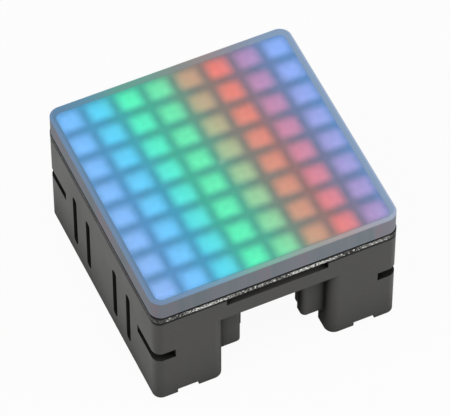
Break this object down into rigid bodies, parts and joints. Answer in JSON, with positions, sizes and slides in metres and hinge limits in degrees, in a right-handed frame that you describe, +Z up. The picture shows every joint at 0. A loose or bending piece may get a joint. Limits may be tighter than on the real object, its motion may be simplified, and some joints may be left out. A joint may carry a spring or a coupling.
{
  "type": "rgb led matrix panel",
  "caption": "Square RGB LED matrix tile with a frosted diffuser cap, on a dark moulded base with doorways, vent slots and corner slots.",
  "frame": {"origin": "centre of the footprint on the surface that the base stands on", "axes": "+Z up through the display face, -Y out of the front doorway, +X to the right seen from the front"},
  "size_m": [0.0612, 0.0612, 0.0372],
  "materials": {
    "base_abs": "moulded, fine satin grain",
    "screw_steel": "zinc plated",
    "standoff_brass": "turned",
    "solder_mask": "solder mask, bare glass-fibre edge",
    "adhesive_foam": "foam tape",
    "grid_plastic": "moulded",
    "film_polycarbonate": "frosted, lit from behind",
    "cap_acrylic": "frosted, satin",
    "led_package": "white package, clear window",
    "connector_plastic": "moulded",
    "contact_tin": "tin plated",
    "chip_epoxy": "moulded",
    "chip_ceramic": "fired ceramic",
    "chip_resistor": "glazed",
    "can_aluminium": "drawn can"
  },
  "bodies": {
    "root": {"base_housing": "base_abs", "board_screws": "screw_steel", "board_standoffs": "standoff_brass", "led_board": "solder_mask", "adhesive_frame": "adhesive_foam", "light_grid": "grid_plastic", "diffuser_film": "film_polycarbonate", "diffuser_cap": "cap_acrylic", "led_row_1": "led_package", "led_row_2": "led_package", "led_row_3": "led_package", "led_row_4": "led_package", "led_row_5": "led_package", "led_row_6": "led_package", "led_row_7": "led_package", "led_row_8": "led_package", "front_connector": "connector_plastic", "front_contacts": "contact_tin", "rear_connector": "connector_plastic", "rear_contacts": "contact_tin", "control_chip": "chip_epoxy", "regulator_chip": "chip_epoxy", "decoupling_capacitors": "chip_ceramic", "signal_resistors": "chip_resistor", "capacitor_seats": "connector_plastic", "capacitor_cans": "can_aluminium"}
  },
  "joints": []
}
